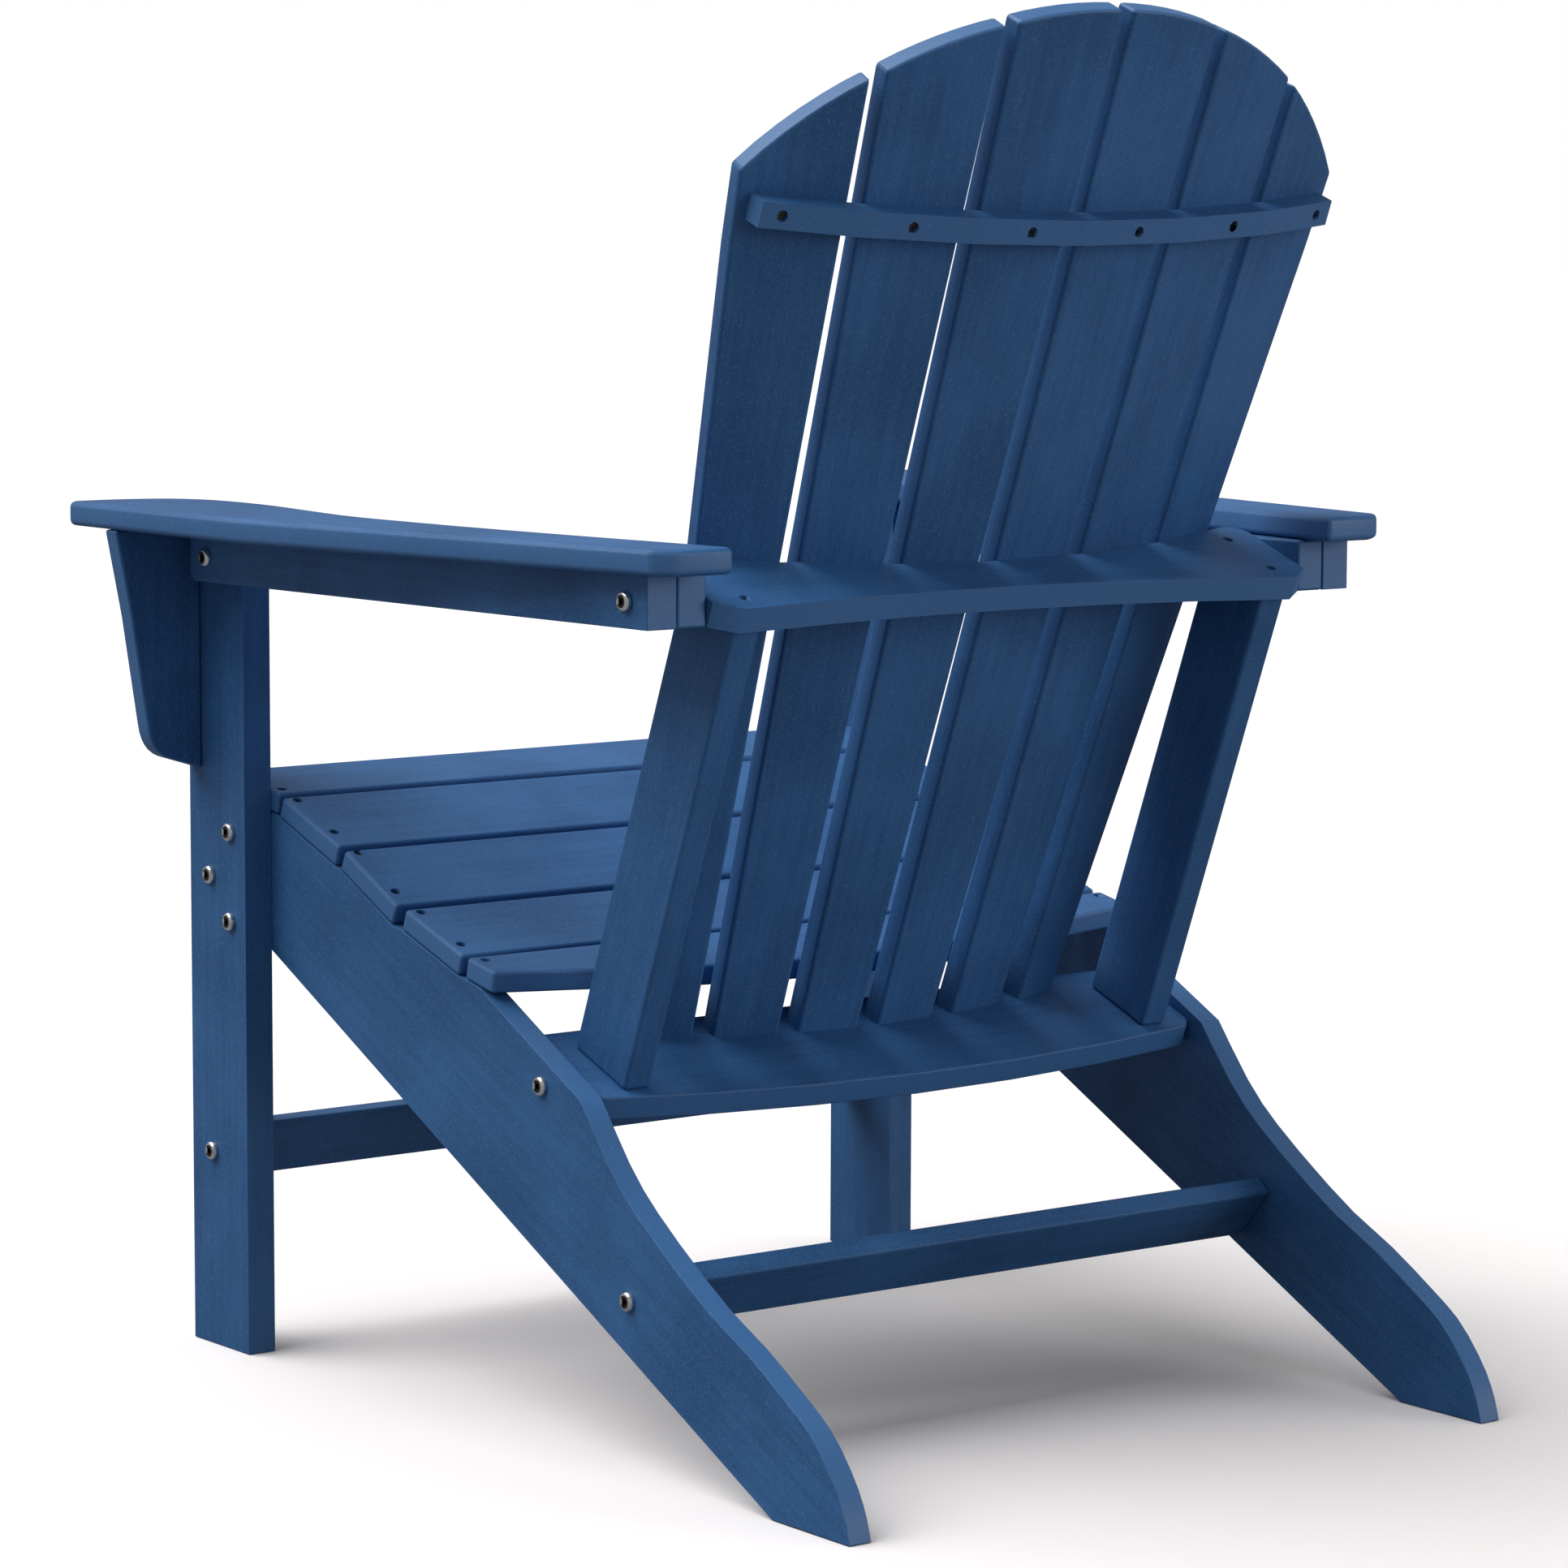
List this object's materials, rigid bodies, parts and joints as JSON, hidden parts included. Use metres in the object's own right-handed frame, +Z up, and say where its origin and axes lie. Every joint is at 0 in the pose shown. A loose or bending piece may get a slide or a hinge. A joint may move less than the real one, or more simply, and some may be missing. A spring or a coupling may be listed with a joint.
{
  "type": "adirondack chair",
  "caption": "Adirondack chair with a reclined fanned slat back, a sloping slat seat and wide flat arms on bolted plastic lumber boards.",
  "frame": {"origin": "on the floor, at the bottom centre of the box around the chair", "axes": "+Z up, -Y the way the sitter faces, +X the sitter's left"},
  "size_m": [0.767, 0.816, 0.9785],
  "materials": {
    "lumber": "navy blue plastic lumber, brushed with a fine lengthwise grain, satin",
    "stainless": "stainless steel, bright"
  },
  "bodies": {
    "root": {"arm_block_left": "lumber", "arm_block_right": "lumber", "arm_bracket_left": "lumber", "arm_bracket_right": "lumber", "arm_rail_left": "lumber", "arm_rail_right": "lumber", "armrest_left": "lumber", "armrest_right": "lumber", "back_rail_low": "lumber", "back_rail_middle": "lumber", "back_rail_top": "lumber", "back_slat_1": "lumber", "back_slat_2": "lumber", "back_slat_3": "lumber", "back_slat_4": "lumber", "back_slat_5": "lumber", "back_slat_6": "lumber", "back_upright_left": "lumber", "back_upright_right": "lumber", "bolt_arm_front_left": "stainless", "bolt_arm_front_right": "stainless", "bolt_arm_rear_left": "stainless", "bolt_arm_rear_right": "stainless", "bolt_front_stretcher_left": "stainless", "bolt_front_stretcher_right": "stainless", "bolt_leg_lower_left": "stainless", "bolt_leg_lower_right": "stainless", "bolt_leg_middle_left": "stainless", "bolt_leg_middle_right": "stainless", "bolt_leg_upper_left": "stainless", "bolt_leg_upper_right": "stainless", "bolt_low_rail_left": "stainless", "bolt_low_rail_right": "stainless", "bolt_rear_stretcher_left": "stainless", "bolt_rear_stretcher_right": "stainless", "front_leg_left": "lumber", "front_leg_right": "lumber", "front_stretcher": "lumber", "rear_stretcher": "lumber", "screw_middle_rail_1": "stainless", "screw_middle_rail_2": "stainless", "screw_middle_rail_3": "stainless", "screw_middle_rail_4": "stainless", "screw_top_rail_1": "stainless", "screw_top_rail_2": "stainless", "screw_top_rail_3": "stainless", "screw_top_rail_4": "stainless", "screw_top_rail_5": "stainless", "screw_top_rail_6": "stainless", "seat_board_2": "lumber", "seat_board_3": "lumber", "seat_board_4": "lumber", "seat_board_front": "lumber", "seat_board_rear": "lumber", "stringer_left": "lumber", "stringer_right": "lumber"}
  },
  "joints": []
}
